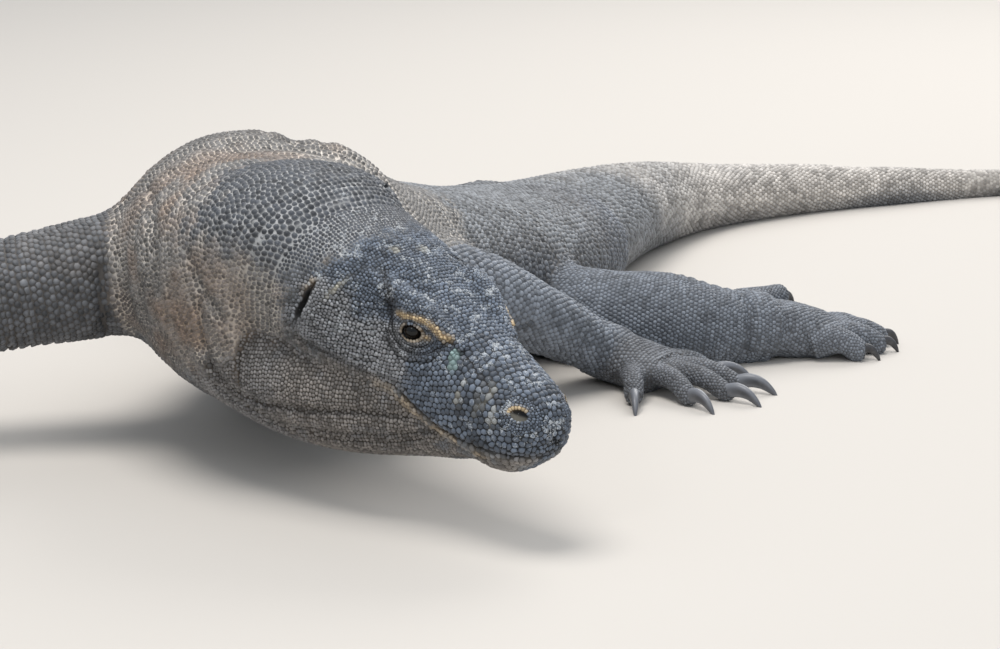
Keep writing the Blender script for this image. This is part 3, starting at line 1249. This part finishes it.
def cell_radii(scales):
    """How far each scale may reach in each direction before it meets its neighbours."""
    points, normal, pitch = scales["point"], scales["normal"], scales["pitch"]
    heading = scales["heading"]
    ahead = unit(heading - (heading * normal).sum(1, keepdims=True) * normal)
    across = np.cross(normal, ahead)
    offset = points[nearest(points, 9)] - points[:, None]
    x = np.einsum("nkc,nc->nk", offset, ahead)
    y = np.einsum("nkc,nc->nk", offset, across)
    square = x * x + y * y
    radii = np.zeros((len(points), SIDES))
    for k in range(SIDES):
        angle = 2 * np.pi * (k + 0.5) / SIDES
        reach = x * math.cos(angle) + y * math.sin(angle)
        limit = np.where(reach > 0.15 * np.sqrt(square), square / (2 * np.maximum(reach, 1e-3)), 99)
        radii[:, k] = np.minimum(limit.min(1), 0.75 * pitch)
    return 1.09 * radii * scales["fill"][:, None], ahead, across


def scale_mesh(scales, radii, ahead, across, rings):
    """Low domes with the outlines of their cells, as one mesh; small scales have one ring."""
    n = len(scales["point"])
    angle = 2 * np.pi * (np.arange(SIDES) + 0.5) / SIDES
    cos, sin = np.cos(angle), np.sin(angle)
    flat, pitch, lean = (scales[key][:, None] for key in ("flat", "pitch", "lean"))
    tall = (scales["height"] * RNG.uniform(0.8, 1.15, n))[:, None]
    levels = []
    sink = SINK if rings == 2 else 0.12
    for share, lift in ((np.ones_like(flat), -sink + 0 * tall), (flat, 0.74 * tall))[:rings]:
        x = radii * share * cos + (1 - share) * 2 * lean * pitch
        y = radii * share * sin
        levels.append(np.stack([x, y, np.broadcast_to(lift, x.shape)], 2))
    top = np.stack([lean[:, 0] * pitch[:, 0], 0 * pitch[:, 0], tall[:, 0]], 1)[:, None]
    local = np.concatenate(levels + [top], 1)
    basis = np.stack([ahead, across, scales["normal"]], 1)
    points = scales["point"][:, None] + np.einsum("nkc,ncd->nkd", local, basis)
    points[..., 2] = np.maximum(points[..., 2], 0.05)
    tris = []
    for k in range(SIDES):
        j = (k + 1) % SIDES
        if rings == 2:
            tris += [(k, j, SIDES + j), (k, SIDES + j, SIDES + k)]
        inner = SIDES * (rings - 1)
        tris.append((inner + k, inner + j, SIDES * rings))
    each = SIDES * rings + 1
    faces = (np.array(tris)[None] + each * np.arange(n)[:, None, None]).reshape(-1, 3)
    uv = 0.005 + 0.99 * scales["uv"][:, None] + 0.003 * local[..., :2] / pitch[:, None] / 1.4
    edge = np.array([1.0 if rings == 2 else 0.8] * SIDES + [0.22] * (SIDES * (rings - 1)) + [0.0])
    return points.reshape(-1, 3), faces, uv.reshape(-1, 2), np.tile(edge, n), each


PIECES = {  # each coat piece and the tubes whose scales it holds; the spine is cut by arc length
    "head_scales": ["head", "brow_1", "brow_-1", "rings"],
    "throat_scales": ["throat"],
    "right_arm_scales": ["right_arm"],
    "left_arm_scales": ["left_arm"],
    "left_leg_scales": ["left_leg"],
    "right_leg_scales": ["right_leg"],
}
SPINE_CUTS = {"nape_scales": (0, 150), "hump_scales": (150, 300), "shoulder_scales": (300, 480),
              "back_scales": (480, 700), "hip_scales": (700, 960), "tail_scales": (960, 1300),
              "tail_tip_scales": (1300, 9999)}
UNEVEN = ("head_scales", "throat_scales", "hump_scales", "nape_scales", "shoulder_scales")  # mixed tones
ONE_RING = ("tail_tip_scales", "right_foot_scales")


def build_scales(material, skin):
    scales = scatter(skin)
    radii, ahead, across = cell_radii(scales)
    names = np.array(NAMES + ["rings"])[scales["tube"]]
    groups = {piece: np.isin(names, tubes) for piece, tubes in PIECES.items()}
    length = SWEEPS["spine"][0].arc[-1]
    arc = scales["uv"][:, 0] * length
    for piece, (low, high) in SPINE_CUTS.items():
        groups[piece] = (names == "spine") & (arc >= low) & (arc < high)
    for paw in PAWS:
        groups[f"{paw}_scales"] = np.char.startswith(names, paw)
    count = 0
    for name, chosen in groups.items():
        part = {key: value[chosen] for key, value in scales.items()}
        if name in SPINE_CUTS:
            low, high = (min(value, length) for value in SPINE_CUTS[name])
            part["uv"] = np.stack([(arc[chosen] - low) / (high - low), part["uv"][:, 1]], 1)
        rings = 1 if name in ONE_RING else 2
        points, faces, uv, edge, each = scale_mesh(part, radii[chosen], ahead[chosen], across[chosen], rings)
        piece = add_mesh(name, points, faces)
        layer = piece.data.uv_layers.new(name="OFBake")
        loops = np.zeros(len(piece.data.loops), np.int32)
        piece.data.loops.foreach_get("vertex_index", loops)
        layer.data.foreach_set("uv", uv[loops].astype(np.float32).ravel())
        spread = 0.75 if name in UNEVEN else 0.6
        tone = shade(part["point"]) + spread * RNG.uniform(-0.5, 0.5, len(part["point"]))
        marks = {key: np.repeat(value, each) for key, value in markings(part["point"]).items()}
        add_values(piece, edge=edge, tone=np.repeat(tone, each), **marks)
        piece.data.materials.append(material)
        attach(piece, "root")
        count += len(faces)
        print(name, len(part["point"]), "scales", len(faces), "triangles")
    print("coat", count, "triangles")


# ---- skin, claws and eyes --------------------------------------------------------------
FLESH_NODES = [
    "head", "lower_jaw", "neck", "trunk_front", "trunk_rear", "tail_base", "tail_middle", "tail_tip",
    "right_upper_arm", "right_forearm", "right_hand", "left_upper_arm", "left_forearm", "left_hand",
    "right_thigh", "right_shank", "right_foot", "left_thigh", "left_shank", "left_foot",
]


def build_skin(material):
    points, tris = skin_mesh()
    piece = add_mesh("hide", points, tris)
    add_values(piece, edge=np.ones(len(points)), tone=shade(points), **markings(points))
    piece.data.materials.append(material)
    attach(piece, "root")
    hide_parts(*FLESH_NODES)
    print("skin", len(tris), "triangles")
    return points


def claw_mesh(rows, count=20, sides=18):
    """A closed tube through rows, with a ridge along its top and a groove low on each side."""
    sweep = Sweep(rows, count, 2.0)
    angle = 2 * np.pi * np.arange(sides) / sides
    points, grooves, shares = [], [], []
    for k in range(count):
        share = k / (count - 1)
        groove = hill(np.abs(np.cos(angle)), 1, 0.2) * hill(share, 0.45, 0.35)
        w, above, below = sweep.size[k]
        height = np.where(np.sin(angle) > 0, above, below)
        radius = 1 / np.sqrt((np.cos(angle) / w) ** 2 + (np.sin(angle) / height) ** 2)
        radius = radius * (1 - 0.13 * groove + 0.05 * hill(np.sin(angle), 1, 0.12))
        points.append(sweep.centre[k] + np.outer(radius * np.cos(angle), sweep.side[k])
                      + np.outer(radius * np.sin(angle), sweep.up[k]))
        grooves.append(groove)
        shares.append(np.full(sides, share))
    points = np.vstack(points + [sweep.centre[:1], sweep.centre[-1:] + 0.5 * sweep.along[-1:]])
    grooves = np.concatenate(grooves + [[0, 0]])
    shares = np.concatenate(shares + [[0, 1]])
    start, end = len(points) - 2, len(points) - 1
    faces = []
    for j in range(sides):
        n = (j + 1) % sides
        for i in range(count - 1):
            a, b = i * sides, (i + 1) * sides
            faces += [(a + j, b + j, b + n), (a + j, b + n, a + n)]
        faces += [(start, j, n), (end, (count - 1) * sides + n, (count - 1) * sides + j)]
    return points, faces, grooves, shares


def build_claws(material):
    for name, paw in PAWS.items():
        _, _, claws = paw_rows(paw)
        for i, rows in enumerate(claws):
            points, faces, groove, share = claw_mesh(rows)
            points[:, 2] = np.maximum(points[:, 2], 0.3)
            piece = add_mesh(f"{name}_horn_{i + 1}", points, faces)
            worn = np.full(len(points), 1.0 if paw["claw"] == HAND_CLAW else 0.0)
            add_values(piece, share=share, groove=groove, worn=worn)
            piece.data.materials.append(material)
            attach(piece, "root")
            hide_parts(f"{name}_claw_{i + 1}")


def build_eyes(material):
    rings, sides = 28, 40
    for side, name in ((1, "right_eye"), (-1, "left_eye")):
        gaze = EYE_AXES[2] @ np.stack([AHEAD, side * RIGHT, UP])
        a = unit(np.cross(gaze, UP))
        b = np.cross(gaze, a)
        tilt = np.linspace(0, np.pi, rings)
        turn = 2 * np.pi * np.arange(sides) / sides
        bulge = 1 + 0.035 * hill(tilt, 0, 0.55)
        radius = (EYE_RADIUS - 0.3) * bulge
        around = np.cos(turn)[:, None] * a + np.sin(turn)[:, None] * b
        points = (radius * np.cos(tilt))[:, None, None] * gaze + (
            radius * np.sin(tilt))[:, None, None] * around[None]
        points = points.reshape(-1, 3) + head_point(EYE[0], side * EYE[1], EYE[2])
        faces = []
        for i in range(rings - 1):
            for j in range(sides):
                n = (j + 1) % sides
                faces.append((i * sides + j, (i + 1) * sides + j, (i + 1) * sides + n, i * sides + n))
        piece = add_mesh(f"{name}_ball", points, np.array(faces)[:, ::-1])
        add_values(piece, tilt=np.repeat(tilt, sides))
        piece.data.materials.append(material)
        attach(piece, "root")
        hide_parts(name)


# ---- materials -------------------------------------------------------------------------
def new_material(name):
    material = bpy.data.materials.new(name)
    material.use_nodes = True
    return material, material.node_tree, material.node_tree.nodes["Principled BSDF"]


def value_noise(tree, size, detail=3.0, rough=0.55):
    """Noise over the model's own space; size is in metres."""
    where = tree.nodes.new("ShaderNodeTexCoord")
    node = tree.nodes.new("ShaderNodeTexNoise")
    node.inputs["Scale"].default_value = 1 / size
    node.inputs["Detail"].default_value = detail
    node.inputs["Roughness"].default_value = rough
    tree.links.new(where.outputs["Object"], node.inputs["Vector"])
    return node.outputs["Fac"]


def feed(tree, socket, value):
    if isinstance(value, bpy.types.NodeSocket):
        tree.links.new(value, socket)
    else:
        socket.default_value = value


def mix_colour(tree, share, under, over):
    node = tree.nodes.new("ShaderNodeMix")
    node.data_type = "RGBA"
    for socket, value in ((node.inputs["Factor"], share), (node.inputs[6], under), (node.inputs[7], over)):
        feed(tree, socket, value)
    return node.outputs[2]


def maths(tree, kind, *values):
    node = tree.nodes.new("ShaderNodeMath")
    node.operation = kind
    for socket, value in zip(node.inputs, values):
        feed(tree, socket, value)
    return node.outputs[0]


def step(tree, value, low, high):
    """A smooth step from 0 at low to 1 at high."""
    node = tree.nodes.new("ShaderNodeMapRange")
    node.interpolation_type = "SMOOTHSTEP"
    feed(tree, node.inputs["Value"], value)
    node.inputs["From Min"].default_value = low
    node.inputs["From Max"].default_value = high
    return node.outputs["Result"]


def opaque(colour):
    return (*colour, 1)


def hide_group():
    """The hide's colour from its markings, shared by the skin and the scales."""
    tree = bpy.data.node_groups.new("hide colour", "ShaderNodeTree")
    for name in MARKS + ("tone", "edge"):
        tree.interface.new_socket(name.capitalize(), in_out="INPUT", socket_type="NodeSocketFloat")
    tree.interface.new_socket("Colour", in_out="OUTPUT", socket_type="NodeSocketColor")
    inputs = tree.nodes.new("NodeGroupInput").outputs
    scale, between = opaque(BASE[0]), opaque(BASE[1])
    for name, on, off in LAYERS:
        share = inputs[name.capitalize()]
        scale = mix_colour(tree, share, scale, opaque(on))
        between = mix_colour(tree, share, between, opaque(off))
    bright = maths(tree, "MULTIPLY_ADD", inputs["Tone"], 1.3, 0.35)
    shade = tree.nodes.new("ShaderNodeHueSaturation")
    tree.links.new(scale, shade.inputs["Color"])
    tree.links.new(bright, shade.inputs["Value"])
    edge = maths(tree, "POWER", inputs["Edge"], 2.2)
    colour = mix_colour(tree, edge, shade.outputs["Color"], between)
    fine = maths(tree, "MULTIPLY_ADD", value_noise(tree, 0.009), 1.1, value_noise(tree, 0.0009, 2.0))
    cover = maths(tree, "MULTIPLY_ADD", inputs["Fleck"], 0.2, fine)
    cover = maths(tree, "MULTIPLY_ADD", inputs["Tone"], 0.2, cover)
    fleck = step(tree, cover, 1.48, 1.6)
    fleck = maths(tree, "MULTIPLY", fleck, step(tree, inputs["Fleck"], 0.05, 0.4))
    colour = mix_colour(tree, fleck, colour, FLECK_COLOUR)
    out = tree.nodes.new("NodeGroupOutput")
    tree.links.new(colour, out.inputs["Colour"])
    return tree


def hide_material(name, group, roughness, grain):
    material, tree, shader = new_material(name)
    node = tree.nodes.new("ShaderNodeGroup")
    node.node_tree = group
    for mark in MARKS + ("tone", "edge"):
        source = tree.nodes.new("ShaderNodeAttribute")
        source.attribute_name = mark
        tree.links.new(source.outputs["Fac"], node.inputs[mark.capitalize()])
    tree.links.new(node.outputs["Colour"], shader.inputs["Base Color"])
    rough = maths(tree, "MULTIPLY_ADD", value_noise(tree, 0.012), 0.3, roughness)
    tree.links.new(rough, shader.inputs["Roughness"])
    bump = tree.nodes.new("ShaderNodeBump")
    bump.inputs["Strength"].default_value = 0.5
    bump.inputs["Distance"].default_value = 0.0006
    tree.links.new(value_noise(tree, grain, 5, 0.65), bump.inputs["Height"])
    tree.links.new(bump.outputs["Normal"], shader.inputs["Normal"])
    shader.inputs["Specular IOR Level"].default_value = 0.4
    return material


def claw_material():
    """Grey horn, paler and more worn on the hands, darker in the grooves."""
    material, tree, shader = new_material("claw horn")
    read = {}
    for name in ("share", "groove", "worn"):
        node = tree.nodes.new("ShaderNodeAttribute")
        node.attribute_name = name
        read[name] = node.outputs["Fac"]
    dark = mix_colour(tree, read["share"], (0.05, 0.05, 0.055, 1), (0.02, 0.02, 0.022, 1))
    worn = mix_colour(tree, read["share"], (0.17, 0.18, 0.2, 1), (0.085, 0.088, 0.1, 1))
    colour = mix_colour(tree, read["worn"], dark, worn)
    colour = mix_colour(tree, maths(tree, "MULTIPLY", read["groove"], 0.8), colour, (0.03, 0.03, 0.032, 1))
    streak = step(tree, value_noise(tree, 0.005, 6, 0.7), 0.45, 0.75)
    colour = mix_colour(tree, maths(tree, "MULTIPLY", streak, 0.3), colour, (0.2, 0.195, 0.19, 1))
    tree.links.new(colour, shader.inputs["Base Color"])
    shader.inputs["Roughness"].default_value = 0.38
    return material


def eye_material():
    material, tree, shader = new_material("wet eye")
    tilt = tree.nodes.new("ShaderNodeAttribute")
    tilt.attribute_name = "tilt"
    pupil = step(tree, tilt.outputs["Fac"], 0.40, 0.46)
    rim = step(tree, tilt.outputs["Fac"], 0.62, 0.72)
    flow = value_noise(tree, 0.0018, 4, 0.6)
    iris = mix_colour(tree, flow, (0.004, 0.003, 0.003, 1), (0.016, 0.010, 0.006, 1))
    colour = mix_colour(tree, pupil, (0.002, 0.002, 0.002, 1), iris)
    colour = mix_colour(tree, rim, colour, (0.006, 0.006, 0.006, 1))
    tree.links.new(colour, shader.inputs["Base Color"])
    shader.inputs["Roughness"].default_value = 0.05
    shader.inputs["Specular IOR Level"].default_value = 0.35
    return material


# ---- stage -----------------------------------------------------------------------------
CAMERA_DISTANCE = 2900.0
CAMERA_HEIGHT = math.radians(13)
LENS = 129.6
LIGHTS = [  # place in millimetres, size in metres, watts, colour, whether glossy things show it
    ("key light", (-500, -600, 2600), 1.5, 55, (1.0, 0.97, 0.94), True),
    ("fill light", (900, -2600, 1300), 2.4, 24, (0.93, 0.96, 1.0), False),
    ("back light", (900, 1700, 1700), 2.0, 40, (1.0, 0.97, 0.94), True),
    ("catch light", (-1100, -2500, 1500), 0.4, 3, (1.0, 1.0, 1.0), True),
]


def build_stage():
    floor_mesh = bpy.data.meshes.new("floor")
    reach = 12.0
    corners = [(-reach, -reach, 0), (reach, -reach, 0), (reach, reach, 0), (-reach, reach, 0)]
    floor_mesh.from_pydata(corners, [], [(0, 1, 2, 3)])
    floor = bpy.data.objects.new("floor", floor_mesh)
    bpy.context.collection.objects.link(floor)
    material, _, shader = new_material("pale floor")
    shader.inputs["Base Color"].default_value = (0.53, 0.50, 0.46, 1)
    shader.inputs["Roughness"].default_value = 0.9
    floor.data.materials.append(material)
    floor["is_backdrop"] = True

    data = bpy.data.cameras.new("camera")
    data.lens = LENS
    data.clip_end = 100
    camera = bpy.data.objects.new("camera", data)
    stand = [0, -CAMERA_DISTANCE * math.cos(CAMERA_HEIGHT), CAMERA_DISTANCE * math.sin(CAMERA_HEIGHT)]
    camera.location = place(stand)
    look = Vector(place(np.zeros(3))) - camera.location
    camera.rotation_euler = look.to_track_quat("-Z", "Y").to_euler()
    bpy.context.collection.objects.link(camera)
    bpy.context.scene.camera = camera

    for name, where, size, power, colour, shown in LIGHTS:
        data = bpy.data.lights.new(name, "AREA")
        data.shape, data.size, data.energy, data.color = "DISK", size, power, colour
        light = bpy.data.objects.new(name, data)
        light.location = place(where)
        light.visible_glossy = shown
        aim = Vector(place((-50, -200, 80))) - light.location
        light.rotation_euler = aim.to_track_quat("-Z", "Y").to_euler()
        bpy.context.collection.objects.link(light)

    world = bpy.data.worlds.new("studio")
    world.use_nodes = True
    world.node_tree.nodes["Background"].inputs["Color"].default_value = (0.86, 0.92, 1.0, 1)
    world.node_tree.nodes["Background"].inputs["Strength"].default_value = 0.65
    bpy.context.scene.world = world
    bpy.context.scene.view_settings.view_transform = "Standard"


def main():
    group = hide_group()
    skin = build_skin(hide_material("skin between the scales", group, 0.62, 0.0016))
    build_scales(hide_material("dry beaded scales", group, 0.36, 0.001), skin)
    build_claws(claw_material())
    build_eyes(eye_material())
    build_stage()


SHIFT = frame_shift()
main()

sizes = {"cad_box": CAD_BOX, "visual_box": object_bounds()}
{key: [[float(v) for v in corner] for corner in box] for key, box in sizes.items()}
